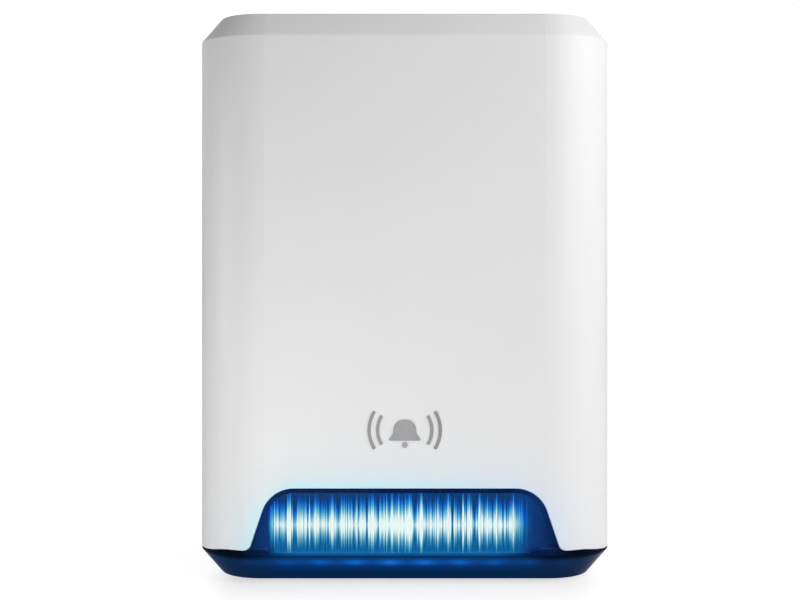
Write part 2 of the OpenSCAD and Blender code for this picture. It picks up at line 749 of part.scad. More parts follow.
// Pillars that carry the strobe, each with a foot and a spigot staked into the plate
spigot_r = 2.5;
module strobe_pillars() {
    color("whitesmoke") for (p = strobe_posts) {
        facing(p.x, -plate_t, p.y) rod(4, -strobe_back - plate_t, 1.2, 12);
        facing(p.x, -plate_t, p.y) cylinder(r = 6.5, h = 2);
        facing(p.x, -0.2, p.y) cylinder(r = spigot_r, h = plate_t);
    }
}
module strobe_board() {
    color("ivory") slab(strobe_back - 2, strobe_back - 3.2) translate([0, strobe_z]) difference() {
        square([2 * strobe_half.x - 5, 12], center = true);
        for (p = strobe_posts) translate([p.x, 0]) circle(r = 1.7);
    }
}
module strobe_lamps() {
    color("lightyellow") for (i = [-3.5:3.5]) facing(i * lamp_pitch, strobe_back - 3.2, strobe_z) {
        block(5, 5, 1);
        translate([0, 0, 1]) cylinder(r1 = 2.1, r2 = 1.5, h = 1.2);
    }
}
module strobe_screws() {
    color("silver") for (p = strobe_posts) facing(p.x, strobe_back - 3.2, p.y) pan_screw(1.15, 2.8, 12);
}

// ---- internal wiring: a red and a black lead from each plug
// End of a lead in plug p, then two points that take it straight out of the plug
function from_plug(p, side, out = 2.5) =
    [for (y = [0.1, out]) [socket_at[p][0] + side * 1.5, plug_front - y, socket_at[p][1]]];

battery_route = [[78, -30, 30], [81, -36, 44], [78, -38, 58]];
sounder_route = [[9, -29.5, -54], [0, -28.5, -56], [-9, -26.5, -53]];
strobe_route = [[85, -29, -62], [78, -31, -76], [62, -34, -88], [44, -38, -98]];

function battery_lead(side, z) =
    concat(from_plug(0, side), [for (p = battery_route) p + [2 * side, 0, 0]],
           [[73, -32, z - 8], [70, -27, z - 1], [holder_half.x + 0.1, -26, z]]);
function sounder_lead(side, angle) =
    let (d = [cos(angle), 0, sin(angle)])
    concat(from_plug(1, side, 3.5 + side), [for (p = sounder_route) p + [0, -1.5 * side, side]],
           [[sounder.x, -24, sounder.y] + (sounder_r + 3) * d,
            [sounder.x, -23.5, sounder.y] + (sounder_r + 0.15) * d]);
function strobe_lead(side) =
    concat(from_plug(2, side), [for (p = strobe_route) p + [1.3 * side, 0, -1.3 * side]],
           [for (y = [3, -1.9]) [lead_slot.x + 1.5 * side, strobe_back + y, lead_slot.y - 0.7 * side]]);

module battery_lead_red() {
    color("red") wire(battery_lead(1, battery_z + row_pitch / 2));
}
module battery_lead_black() {
    color("black") wire(battery_lead(-1, battery_z - row_pitch / 2));
}
module sounder_lead_red() {
    color("red") wire(sounder_lead(1, -38));
}
module sounder_lead_black() {
    color("black") wire(sounder_lead(-1, -45));
}
module strobe_lead_red() {
    color("red") wire(strobe_lead(1));
}
module strobe_lead_black() {
    color("black") wire(strobe_lead(-1));
}

front_cover();
strobe_lens();
lens_seal();
lens_diffuser();
lens_screws();
badge();
hinge_pins();
sound_mesh();
backplate();
cable_grommet();
cover_screw();
screw_washer();
main_board();
board_screws();
radio_module();
antenna();
processor();
power_coil();
capacitors();
small_components();
terminal_block();
terminal_screws();
lead_sockets();
lead_plugs();
status_light();
button_switch();
reset_button();
tamper_switch();
tamper_lever();
wall_tamper_switch();
wall_tamper_plunger();
wall_tamper_spring();
battery_holder();
battery(0);  // battery_1
battery(1);  // battery_2
battery(2);  // battery_3
battery(3);  // battery_4
battery_springs();
battery_plates();
holder_screws();
sounder_housing();
sounder_gasket();
piezo_disc();
piezo_ceramic();
sounder_horn();
sounder_screws();
strobe_pillars();
strobe_reflector();
strobe_board();
strobe_lamps();
strobe_screws();
battery_lead_red();
battery_lead_black();
sounder_lead_red();
sounder_lead_black();
strobe_lead_red();
strobe_lead_black();
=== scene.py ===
import math
import bmesh
import bpy
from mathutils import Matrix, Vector

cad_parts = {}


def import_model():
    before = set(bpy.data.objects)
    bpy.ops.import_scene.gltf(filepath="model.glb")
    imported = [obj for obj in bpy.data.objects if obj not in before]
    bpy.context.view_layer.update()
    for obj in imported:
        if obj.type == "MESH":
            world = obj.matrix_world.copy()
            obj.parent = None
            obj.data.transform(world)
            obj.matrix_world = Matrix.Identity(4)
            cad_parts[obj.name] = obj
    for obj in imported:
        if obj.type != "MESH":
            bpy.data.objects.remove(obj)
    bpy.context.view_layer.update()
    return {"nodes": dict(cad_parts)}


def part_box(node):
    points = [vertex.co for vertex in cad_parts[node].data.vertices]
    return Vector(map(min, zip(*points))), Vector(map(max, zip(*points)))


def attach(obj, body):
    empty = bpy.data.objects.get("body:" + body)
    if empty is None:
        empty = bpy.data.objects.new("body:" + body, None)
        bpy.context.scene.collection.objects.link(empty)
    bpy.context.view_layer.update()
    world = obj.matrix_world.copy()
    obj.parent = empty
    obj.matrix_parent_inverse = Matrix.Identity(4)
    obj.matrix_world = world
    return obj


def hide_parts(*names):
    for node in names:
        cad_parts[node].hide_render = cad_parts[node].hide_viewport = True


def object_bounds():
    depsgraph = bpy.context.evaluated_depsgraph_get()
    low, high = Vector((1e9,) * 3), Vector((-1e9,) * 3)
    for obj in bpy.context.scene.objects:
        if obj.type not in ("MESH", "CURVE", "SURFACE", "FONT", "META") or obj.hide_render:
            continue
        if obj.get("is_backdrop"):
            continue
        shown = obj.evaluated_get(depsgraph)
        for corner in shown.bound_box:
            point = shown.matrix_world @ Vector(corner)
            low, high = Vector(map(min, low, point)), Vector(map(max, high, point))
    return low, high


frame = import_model()
nodes = frame["nodes"]
MM = 0.001

# ---- sizes of the casing, in millimetres, as the part's design has them
cover_low, cover_high = [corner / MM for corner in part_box("front_cover")]
HALF_W = cover_high.x
TOP_Z = cover_high.z
FRONT_Y = cover_low.y
REAR_Y = cover_high.y
CORNER_R = 31.0
SLOPE_IN = 10.0
SLOPE_H = 11.8
WALL = 2.5
EDGE_R = 1.6
LENS_EDGE_R = 0.7
FLAT_HALF = HALF_W - CORNER_R
ARC_Y = FRONT_Y + CORNER_R
SLOPE_Z = TOP_Z - SLOPE_H
FOOT_Z = -TOP_Z
ARC_LENGTH = CORNER_R * math.pi / 2
END_U = FLAT_HALF + ARC_LENGTH + REAR_Y - ARC_Y

# ---- the window's outline, seen from the front
WINDOW_Z = 33.0 - SLOPE_Z
WINDOW_HEAD = 63.7
WINDOW_FOOT = 73.8
HEAD_R = 15.6
FOOT_R = 4.3
LOBE_X = 86.0
LOBE_Z = 3.4 - SLOPE_Z
LOBE_R = 30.0
EDGE_Z = 0.5 - SLOPE_Z
GAP = 0.25
RIM_R = 0.55


# ---- outlines
CORNER_STEPS = 6


def round_corner(a, p, b, radius, steps):
    """Points of the arc that rounds the corner at p between its neighbours a and b."""
    a, p, b = Vector(a), Vector(p), Vector(b)
    if radius <= 0:
        return [p]
    u = (a - p).normalized()
    v = (b - p).normalized()
    half = u.angle(v) / 2
    centre = p + (u + v).normalized() * radius / math.sin(half)
    start = p + u * radius / math.tan(half) - centre
    end = p + v * radius / math.tan(half) - centre
    turn = start.angle_signed(end)
    first = math.atan2(start.y, start.x)
    return [
        centre + radius * Vector((math.cos(first - turn * i / steps), math.sin(first - turn * i / steps)))
        for i in range(steps + 1)
    ]


def rounded(points, radius):
    """Closed outline with its corners rounded."""
    count = len(points)
    found = []
    for i in range(count):
        found += round_corner(points[i - 1], points[i], points[(i + 1) % count], radius, CORNER_STEPS)
    return found


def divide(points, longest):
    """The same open line with no stretch longer than longest."""
    found = [Vector(points[0])]
    for a, b in zip(points, points[1:]):
        a, b = Vector(a), Vector(b)
        count = max(1, math.ceil((b - a).length / longest))
        found += [a.lerp(b, k / count) for k in range(1, count + 1)]
    return found


def normals(line):
    """Unit normals on the left of an open line, one for each point."""
    found = []
    for i in range(len(line)):
        d = (line[min(i + 1, len(line) - 1)] - line[max(i - 1, 0)]).normalized()
        found.append(Vector((-d.y, d.x)))
    return found


def moved(line, distance):
    """The line moved to its left by distance."""
    return [p + n * distance for p, n in zip(line, normals(line))]


# ---- the casing's surface, unrolled: u runs round the front from side to side, z upwards
def surface(u, z, rho):
    """Place on the casing, where rho is the distance out from the line through the corner arcs' centres."""
    a = abs(u)
    if a <= FLAT_HALF:
        x, y = a, ARC_Y - rho
    elif a <= FLAT_HALF + ARC_LENGTH:
        turn = (a - FLAT_HALF) / CORNER_R
        x, y = FLAT_HALF + rho * math.sin(turn), ARC_Y - rho * math.cos(turn)
    else:
        x, y = FLAT_HALF + rho, ARC_Y + a - FLAT_HALF - ARC_LENGTH
    return Vector((math.copysign(x, u), y, z)) * MM


def unroll(x):
    """How far round the casing a point is that lies x to the right, seen from the front."""
    if x <= FLAT_HALF:
        return x
    return FLAT_HALF + CORNER_R * math.asin(min(1.0, (x - FLAT_HALF) / CORNER_R))


def side_line(inset, radius):
    """The casing's side line above the middle, as (rho, z), from the middle up and over to the top face."""
    slope = math.atan2(SLOPE_H, SLOPE_IN)
    low = SLOPE_Z - inset * math.tan((math.pi / 2 - slope) / 2)
    top = TOP_Z - inset
    edge = CORNER_R - inset - (top - low) / math.tan(slope)
    corners = [(CORNER_R - inset, 0), (CORNER_R - inset, low), (edge, top), (5.0, top)]
    line = [Vector(corners[0])]
    line += round_corner(corners[0], corners[1], corners[2], radius, CORNER_STEPS)
    line += round_corner(corners[1], corners[2], corners[3], radius, CORNER_STEPS)
    return line + [Vector((12.0, top)), Vector(corners[3])]


def rho_at(line, z):
    """How far out the side line is at height z."""
    for a, b in zip(line, line[1:]):
        if a.y <= z <= b.y and b.y > a.y:
            return a.x + (b.x - a.x) * (z - a.y) / (b.y - a.y)
    return line[0].x


COVER_SIDE = side_line(0, EDGE_R)
LENS_SIDE = side_line(0, LENS_EDGE_R)
INNER_SIDE = side_line(WALL, 0.5)


def parting_line():
    """Where cover and lens meet, as (u, z) from the rear of one side to the rear of the other."""
    head, foot = (WINDOW_HEAD, WINDOW_Z), (WINDOW_FOOT, LOBE_Z)
    corners = [(0, WINDOW_Z), head, foot, (LOBE_X, LOBE_Z), (HALF_W, EDGE_Z)]
    line = [Vector(corners[0])]
    for i, radius, steps in ((1, HEAD_R, 16), (2, FOOT_R, 10), (3, LOBE_R, 6)):
        line += round_corner(corners[i - 1], corners[i], corners[i + 1], radius, steps)
    line = divide(line + [Vector(corners[4])], 4.0)
    line = [Vector((unroll(p.x), p.y)) for p in line]
    line = divide(line + [Vector((END_U, EDGE_Z))], 4.0)
    return [Vector((-p.x, p.y)) for p in reversed(line[1:])] + line


PARTING = parting_line()


# ---- mesh helpers
def new_piece(name, bm, smooth_below=32):
    """A mesh object made from a bmesh, smooth where its faces meet at a small angle."""
    bmesh.ops.remove_doubles(bm, verts=bm.verts, dist=1e-7)
    bmesh.ops.recalc_face_normals(bm, faces=bm.faces)
    mesh = bpy.data.meshes.new(name)
    bm.to_mesh(mesh)
    bm.free()
    piece = bpy.data.objects.new(name, mesh)
    bpy.context.scene.collection.objects.link(piece)
    for face in mesh.polygons:
        face.use_smooth = True
    mesh.set_sharp_from_angle(angle=math.radians(smooth_below))
    return piece


def prism(bm, outline, place, start, end, hole=None):
    """Extrudes an outline, with an optional hole of as many points.

    place turns (a, b, depth) into a point.
    """
    rings = []
    for depth in (start, end):
        rings.append([bm.verts.new(place(p[0], p[1], depth)) for p in outline])
    count = len(outline)
    for i in range(count):
        j = (i + 1) % count
        bm.faces.new((rings[0][i], rings[0][j], rings[1][j], rings[1][i]))
    if hole is None:
        bm.faces.new(rings[0])
        bm.faces.new(list(reversed(rings[1])))
        return
    holes = []
    for depth in (start, end):
        holes.append([bm.verts.new(place(p[0], p[1], depth)) for p in hole])
    for i in range(count):
        j = (i + 1) % count
        bm.faces.new((holes[0][j], holes[0][i], holes[1][i], holes[1][j]))
        bm.faces.new((rings[0][j], rings[0][i], holes[0][i], holes[0][j]))
        bm.faces.new((rings[1][i], rings[1][j], holes[1][j], holes[1][i]))


def front_view(a, b, depth):
    """A point seen from the front: a to the right, b up, at that depth."""
    return Vector((a, depth, b)) * MM


def side_view(a, b, depth):
    """A point seen from the side: a is Y, b is Z, at that X."""
    return Vector((depth, a, b)) * MM


def box(bm, low, high):
    """A closed box between two corners, in millimetres."""
    outline = [(low[0], low[2]), (high[0], low[2]), (high[0], high[2]), (low[0], high[2])]
    prism(bm, outline, front_view, low[1], high[1])


def circle(x, z, radius, steps=32):
    """Closed round outline."""
    turns = [2 * math.pi * i / steps for i in range(steps)]
    return [(x + radius * math.cos(turn), z + radius * math.sin(turn)) for turn in turns]


def casing_shell(bm, line, up, gap, outside):
    """Closed shell of the casing on one side of the parting line. up is 1 above it and -1 below it."""
    inward = [n * up for n in normals(line)]
    profile = [Vector((p.x, p.y * up)) for p in outside[1:]]
    lining = [Vector((p.x, p.y * up)) for p in INNER_SIDE[1:]]
    columns = []
    for p, n in zip(line, inward):
        edge = p + n * (gap + RIM_R)
        column = []
        for line_points, side, start in ((profile, outside, edge), (lining, INNER_SIDE, p + n * gap)):
            rows = [start.y + up * k * abs(profile[0].y - start.y) / 8 for k in range(1, 8)]
            rows = [(rho_at(side, z * up), z) for z in rows]
            rows += [(q.x, q.y) for q in line_points]
            placed = []
            last = start.y * up
            for rho, z in rows:
                height = z * up
                if height < last + 0.01 and rho > CORNER_R - SLOPE_IN + 1:
                    height = last + 0.01
                    rho = rho_at(side, height)
                last = max(last, height)
                placed.append(surface(start.x, height * up, rho))
            column.append(placed)
        rim = []
        for k in range(5):
            turn = math.pi / 2 * k / 4
            q = p + n * (gap + RIM_R * (1 - math.sin(turn)))
            rim.append(surface(q.x, q.y, rho_at(outside, q.y * up) - RIM_R * (1 - math.cos(turn))))
        q = p + n * gap
        rim.append(surface(q.x, q.y, rho_at(INNER_SIDE, q.y * up)))
        points = list(reversed(column[0])) + rim + column[1]
        columns.append([bm.verts.new(point) for point in points])
    count = len(columns[0])
    rows = len(column[0])
    for a, b in zip(columns, columns[1:]):
        for k in range(count - 1):
            bm.faces.new((a[k], b[k], b[k + 1], a[k + 1]))
    bm.faces.new([column[0] for column in columns])
    bm.faces.new([column[-1] for column in reversed(columns)])
    for column in (columns[0], columns[-1]):
        for k in range(rows):
            bm.faces.new((column[k], column[k + 1], column[count - 2 - k], column[count - 1 - k]))
        bm.faces.new(column[rows:count - rows])
    first, last = columns[0], columns[-1]
    bm.faces.new((first[0], last[0], last[-1], first[-1]))


def bevel(piece, width, angle=50):
    """Softens the piece's sharp edges."""
    modifier = piece.modifiers.new("soft edges", "BEVEL")
    modifier.width = width * MM
    modifier.segments = 2
    modifier.limit_method = "ANGLE"
    modifier.angle_limit = math.radians(angle)
    modifier.harden_normals = True
    return piece


# ---- front cover
LENS_SCREW_XS = (-54, -20, 20, 54)
LENS_SCREW_Z = WINDOW_Z + 8.5
BOSS_TIP, BOSS_ROOT = -64.9, -67.8
HINGE = Vector((-14.0, TOP_Z - 7.0))
HINGE_X = 73.0
PIN_R = 1.5
LUG_R = 4
LUG_TOP = 4.9


def hinge_lug(bm, x, width):
    """Lug round the hinge pin, square above it so that it reaches the cover's top wall."""
    steps = 48
    outline = []
    for i in range(steps):
        turn = 2 * math.pi * i / steps
        reach = LUG_R
        if math.sin(turn) > 0:
            reach = min(LUG_R / max(abs(math.cos(turn)), 1e-6), LUG_TOP / max(math.sin(turn), 1e-6))
        outline.append((HINGE.x + reach * math.cos(turn), HINGE.y + reach * math.sin(turn)))
    prism(bm, outline, side_view, x - width / 2, x + width / 2, circle(HINGE.x, HINGE.y, PIN_R, steps))


def cover_ribs(bm):
    """Thin ribs on the inside of the front wall."""
    inside = FRONT_Y + WALL
    for x in (-40, 0, 40):
        box(bm, (x - 0.8, inside - 0.3, -70), (x + 0.8, inside + 3, 100))
    for z in (-70, 99.2):
        box(bm, (-60, inside - 0.3, z - 0.8), (60, inside + 3, z + 0.8))


def tamper_post(bm):
    """Post that holds the tamper lever down while the cover is shut."""
    x, z = 79.0, 4.0
    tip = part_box("tamper_lever")[0].y / MM - 0.15
    prism(bm, circle(x, z, 2.5), front_view, tip, tip - 12)
    prism(bm, circle(x, z, 3.5), front_view, tip - 12, -65.5)
    box(bm, (x - 7, -66.3, z - 0.8), (x + 3, -48, z + 0.8))
    box(bm, (x - 0.8, -66.3, z - 7), (x + 0.8, -48, z + 7))


def front_cover():
    """Shell above the parting line, with its ribs, hinge lugs, tamper post and screw bosses."""
    bm = bmesh.new()
    casing_shell(bm, PARTING, 1, 0, COVER_SIDE)
    for side in (-1, 1):
        for at in (-5.7, 5.7):
            hinge_lug(bm, side * HINGE_X + at, 4.8)
    cover_ribs(bm)
    tamper_post(bm)
    for x in LENS_SCREW_XS:
        prism(bm, circle(x, LENS_SCREW_Z, 2.6), front_view, BOSS_TIP, BOSS_ROOT)
    return new_piece("cover_shell", bm)


# ---- lens and tray
SLOT_XS = [side * (22 + 6 * i) for side in (-1, 1) for i in range(9)]
SLOT_FRONT, SLOT_REAR = -48.0, -22.0
SLOT_HALF = 1.5
SLOT_R = 1.4
SCREW_Y = -12.0
SCREW_SLOT_HALF = 4.7
SHANK_SLOT_HALF = 2.3
PAD_HALF = 9
PAD_LOW, PAD_HIGH = FOOT_Z + 3.6, FOOT_Z + 6


def cut(piece, cutter_mesh):
    """Takes the closed shapes of a bmesh out of the piece."""
    cutter = new_piece(piece.name + "_cutter", cutter_mesh)
    modifier = piece.modifiers.new("cut", "BOOLEAN")
    modifier.operation = "DIFFERENCE"
    modifier.solver = "EXACT"
    modifier.object = cutter
    with bpy.context.temp_override(object=piece, active_object=piece):
        bpy.ops.object.modifier_apply(modifier=modifier.name)
    bpy.data.objects.remove(cutter)


def window_line(distance):
    """The window's outline over the flat front, moved outwards by distance."""
    low = -SLOPE_Z + 1
    return [p for p in moved(PARTING, distance) if abs(p.x) <= FLAT_HALF and p.y > low]


def flange(bm, outer, inner, y0, y1):
    """Band between two lines round the window, from depth y0 to y1."""
    a, b = window_line(outer), window_line(inner)
    count = min(len(a), len(b))
    a = [a[round(i * (len(a) - 1) / (count - 1))] for i in range(count)]
    b = [b[round(i * (len(b) - 1) / (count - 1))] for i in range(count)]
    prism(bm, list(a) + list(reversed(b)), front_view, y0, y1)


def slot_end(half, y):
    """The round front end of a slot that is open at the rear."""
    turns = [math.pi * (1 + i / 10) for i in range(11)]
    return [(half * math.cos(turn), y + half * math.sin(turn)) for turn in turns]


def plan_view(a, b, depth):
    """A point seen from above: a to the right, b is Y, at that height."""
    return Vector((a, b, depth)) * MM


def strobe_lens():
    """Shell below the parting line, with the sound slots and the screw's slot in its foot."""
    bm = bmesh.new()
    casing_shell(bm, PARTING, -1, GAP, LENS_SIDE)
    piece = new_piece("lens_shell", bm)
    cutter = bmesh.new()
    for x in SLOT_XS:
        left, right = x - SLOT_HALF, x + SLOT_HALF
        corners = [(left, SLOT_FRONT), (right, SLOT_FRONT), (right, SLOT_REAR), (left, SLOT_REAR)]
        prism(cutter, rounded(corners, SLOT_R), plan_view, FOOT_Z - 1, FOOT_Z + WALL + 1)
    outline = slot_end(SCREW_SLOT_HALF, SCREW_Y) + [(SCREW_SLOT_HALF, 2), (-SCREW_SLOT_HALF, 2)]
    prism(cutter, outline, plan_view, FOOT_Z - 1, FOOT_Z + 3)
    cut(piece, cutter)
    return piece


def lens_fittings():
    """Flange, locating tabs and screw pad inside the lens."""
    bm = bmesh.new()
    back = FRONT_Y + WALL + 2.6
    flange(bm, 5, -2.5, back, back - 2)
    flange(bm, -0.3, -2.5, back - 1.5, FRONT_Y + WALL - 0.3)
    for x in LENS_SCREW_XS:
        rim, hole = circle(x, LENS_SCREW_Z, 5.5), circle(x, LENS_SCREW_Z, 2.8)
        prism(bm, rim, front_view, back - 0.05, back - 1.95, hole)
    for side in (-1, 1):
        x = side * (HALF_W - WALL - 1.2)
        box(bm, (x - 1, ARC_Y + 2, -SLOPE_Z - 2.4), (x + 1, ARC_Y + 26, -SLOPE_Z + 6.5))
    pad = [(-PAD_HALF, SLOT_REAR), (PAD_HALF, SLOT_REAR), (PAD_HALF, REAR_Y), (SHANK_SLOT_HALF, REAR_Y)]
    pad += list(reversed(slot_end(SHANK_SLOT_HALF, SCREW_Y)))
    pad += [(-SHANK_SLOT_HALF, REAR_Y), (-PAD_HALF, REAR_Y)]
    prism(bm, pad, plan_view, PAD_LOW, PAD_HIGH)
    return bevel(new_piece("lens_fittings", bm), 0.3)


# ---- light guide
FLUTE_PITCH = 2.2
FLUTE_DEPTH = 0.9
GUIDE_HALF = 66.0
GUIDE_THICK = 1.8
GUIDE_EDGE = 0.4


def light_guide():
    """Fluted sheet behind the window: ribs on its rear, flat in front, with rounded long edges."""
    low, high = [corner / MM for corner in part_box("lens_diffuser")]
    flutes = int(2 * GUIDE_HALF / FLUTE_PITCH)
    edge = flutes * FLUTE_PITCH / 2
    front, rear = low.y, low.y + GUIDE_THICK
    outline = [(edge, rear), (edge, front + GUIDE_EDGE), (edge - GUIDE_EDGE, front)]
    outline += [(-edge + GUIDE_EDGE, front), (-edge, front + GUIDE_EDGE)]
    for i in range(flutes):
        for k in range(6):
            x = -edge + (i + k / 6) * FLUTE_PITCH
            outline.append((x, rear + FLUTE_DEPTH * math.sin(math.pi * k / 6)))
    bm = bmesh.new()
    prism(bm, outline, plan_view, low.z, high.z)
    return new_piece("light_guide", bm, 60)


# ---- materials
class Term:
    """A number inside a node tree. Arithmetic on it adds Math nodes."""

    def __init__(self, paint, socket):
        self.paint = paint
        self.socket = socket

    def __add__(self, other):
        return self.paint.math("ADD", self, other)

    def __sub__(self, other):
        return self.paint.math("SUBTRACT", self, other)

    def __mul__(self, other):
        return self.paint.math("MULTIPLY", self, other)

    def __truediv__(self, other):
        return self.paint.math("DIVIDE", self, other)

    def __pow__(self, other):
        return self.paint.math("POWER", self, other)

    def __neg__(self):
        return self.paint.math("MULTIPLY", self, -1.0)

    def __abs__(self):
        return self.paint.math("ABSOLUTE", self)

    def above(self, other):
        return self.paint.math("MAXIMUM", self, other)

    def below(self, other):
        return self.paint.math("MINIMUM", self, other)

    def step(self, start, end):
        """Goes smoothly from 0 at start to 1 at end."""
        node = self.paint.add("ShaderNodeMapRange", interpolation_type="SMOOTHSTEP")
        self.paint.feed(node.inputs["Value"], self)
        node.inputs["From Min"].default_value = start
        node.inputs["From Max"].default_value = end
        return Term(self.paint, node.outputs["Result"])

    def bell(self, width):
        """1 at 0, falling away on both sides like a bell."""
        return self.paint.math("EXPONENT", -((self / width) ** 2.0))


class Paint:
    """A procedural material round one Principled shader. Lengths in it are in millimetres."""

    def __init__(self, name, color, roughness, metallic=0.0, **constants):
        self.material = bpy.data.materials.new(name)
        self.material.use_nodes = True
        self.tree = self.material.node_tree
        self.shader = self.tree.nodes["Principled BSDF"]
        self.output = self.tree.nodes["Material Output"]
        self.shader.inputs["Base Color"].default_value = (*color, 1)
        self.shader.inputs["Roughness"].default_value = roughness
        self.shader.inputs["Metallic"].default_value = metallic
        for socket, value in constants.items():
            self.shader.inputs[socket.replace("_", " ")].default_value = value
        scale = self.add("ShaderNodeVectorMath", operation="SCALE")
        self.tree.links.new(self.add("ShaderNodeTexCoord").outputs["Object"], scale.inputs[0])
        scale.inputs["Scale"].default_value = 1 / MM
        self.place = scale.outputs[0]

    def add(self, kind, **settings):
        node = self.tree.nodes.new(kind)
        for key, value in settings.items():
            setattr(node, key, value)
        return node

    def feed(self, socket, value):
        if isinstance(value, Term):
            self.tree.links.new(value.socket, socket)
        elif isinstance(value, bpy.types.NodeSocket):
            self.tree.links.new(value, socket)
        else:
            socket.default_value = value

    def math(self, operation, a, b=None):
        node = self.add("ShaderNodeMath", operation=operation)
        self.feed(node.inputs[0], a)
        if b is not None:
            self.feed(node.inputs[1], b)
        return Term(self, node.outputs[0])

    def xyz(self):
        """Place on the object in millimetres, as three terms."""
        node = self.add("ShaderNodeSeparateXYZ")
        self.tree.links.new(self.place, node.inputs[0])
        return [Term(self, output) for output in node.outputs]

    def noise(self, size, detail, along=None, stretch=(1, 1, 1)):
        """Soft noise from 0 to 1 with blobs of about that size. along makes it run along one term only."""
        node = self.add("ShaderNodeTexNoise")
        node.inputs["Detail"].default_value = detail
        node.inputs["Scale"].default_value = 1 / size
        if along is not None:
            node.noise_dimensions = "1D"
            self.feed(node.inputs["W"], along)
        elif stretch != (1, 1, 1):
            squeeze = self.add("ShaderNodeVectorMath", operation="MULTIPLY")
            self.tree.links.new(self.place, squeeze.inputs[0])
            squeeze.inputs[1].default_value = stretch
            self.tree.links.new(squeeze.outputs[0], node.inputs["Vector"])
        else:
            self.tree.links.new(self.place, node.inputs["Vector"])
        return Term(self, node.outputs["Fac"])

    def dots(self, size):
        """Distance from the nearest of many scattered points, as a share of the size between them."""
        node = self.add("ShaderNodeTexVoronoi")
        node.inputs["Scale"].default_value = 1 / size
        self.tree.links.new(self.place, node.inputs["Vector"])
        return Term(self, node.outputs["Distance"])

    def tracks(self, along, across, pitch, run):
        """1 on straight lines a pitch apart, cut into runs of one length, half of which are left out."""
        lane = self.math("FLOOR", across / pitch)
        place = self.add("ShaderNodeCombineXYZ")
        self.feed(place.inputs[0], lane)
        self.feed(place.inputs[1], self.math("FLOOR", along / run + lane * 0.37))
        pick = self.add("ShaderNodeTexWhiteNoise", noise_dimensions="2D")
        self.tree.links.new(place.outputs[0], pick.inputs["Vector"])
        there = self.math("GREATER_THAN", pick.outputs["Value"], 0.5)
        return there * abs(across / pitch - lane - 0.5).step(0.24, 0.18)

    def ramp(self, term, *stops):
        """Colour that goes through (position, colour) stops as the term rises."""
        node = self.add("ShaderNodeValToRGB")
        while len(node.color_ramp.elements) < len(stops):
            node.color_ramp.elements.new(0.5)
        for element, (position, color) in zip(node.color_ramp.elements, stops):
            element.position = position
            element.color = (*color, 1)
        self.feed(node.inputs[0], term)
        return node.outputs["Color"]

    def mix(self, factor, a, b):
        """Colour a where factor is 0 and b where it is 1."""
        node = self.add("ShaderNodeMix", data_type="RGBA")
        self.feed(node.inputs[0], factor)
        for socket, value in ((node.inputs[6], a), (node.inputs[7], b)):
            self.feed(socket, value if isinstance(value, bpy.types.NodeSocket) else (*value, 1))
        return node.outputs[2]

    def color(self, value):
        self.feed(self.shader.inputs["Base Color"], value)
        return self

    def roughness(self, term, low, high):
        """Roughness between low and high as the term goes from 0 to 1."""
        self.feed(self.shader.inputs["Roughness"], term * (high - low) + low)
        return self

    def bump(self, height, depth):
        """Relief of that depth in millimetres where the height goes from 0 to 1."""
        node = self.add("ShaderNodeBump")
        node.inputs["Strength"].default_value = 1.0
        node.inputs["Distance"].default_value = depth * MM
        self.feed(node.inputs["Height"], height)
        previous = self.shader.inputs["Normal"]
        if previous.is_linked:
            self.tree.links.new(previous.links[0].from_socket, node.inputs["Normal"])
        self.tree.links.new(node.outputs["Normal"], previous)
        return self


def shade(color, factor):
    """The colour made darker or lighter."""
    return tuple(min(1.0, c * factor) for c in color)


def moulded(name, color, rough, grain=0.35, depth=0.012, variation=0.06):
    """Moulded plastic: slight blotches, a fine spark-eroded grain and uneven gloss."""
    paint = Paint(name, color, rough)
    blotch = paint.noise(14, 3)
    paint.color(paint.mix(blotch, shade(color, 1 - variation), shade(color, 1 + variation)))
    grains = paint.noise(grain, 2)
    paint.roughness(paint.noise(5, 3), rough - 0.07, rough + 0.09)
    return paint.bump(grains, depth)


def rolled(name, color, rough, scratch=(0.05, 1, 1), size=0.6):
    """Metal with fine drawn scratches and a slight tarnish."""
    paint = Paint(name, color, rough, 1.0)
    tarnish = paint.noise(4, 4)
    paint.color(paint.mix(tarnish, shade(color, 0.88), shade(color, 1.12)))
    lines = paint.noise(size, 3, stretch=scratch)
    paint.roughness(lines, rough - 0.08, rough + 0.14)
    return paint.bump(lines, 0.004)


def soft(name, color, rough=0.75, size=0.5, depth=0.03):
    """Rubber or foam with an open grain."""
    paint = Paint(name, color, rough)
    paint.color(paint.mix(paint.noise(6, 3), shade(color, 0.8), shade(color, 1.3)))
    paint.roughness(paint.noise(2, 3), rough - 0.1, rough + 0.1)
    return paint.bump(paint.noise(size, 3), depth)


LIT_FROM, LIT_TO = -66.0, 58.0
LIT_Z = 14.9 - SLOPE_Z


def painted_window_glow(paint, x, z):
    """How near a point of the front is to the lit window, from 1 at its edge down to 0: the mask of the
    glow painted round the window.
    """
    flank = Vector((WINDOW_FOOT - WINDOW_HEAD, LOBE_Z - WINDOW_Z)).normalized()
    over = z - WINDOW_Z
    beside = (abs(x) - WINDOW_HEAD) * -flank.y + over * flank.x
    a = (over + HEAD_R).above(0.0)
    b = (beside + HEAD_R).above(0.0)
    away = (paint.math("SQRT", a * a + b * b) - HEAD_R).above(0.0)
    return paint.math("EXPONENT", -(away / 6.5))


CREASE_X = FLAT_HALF - 2.5
CREASE_REACH = 14.0
CREASE_TILT = 0.1


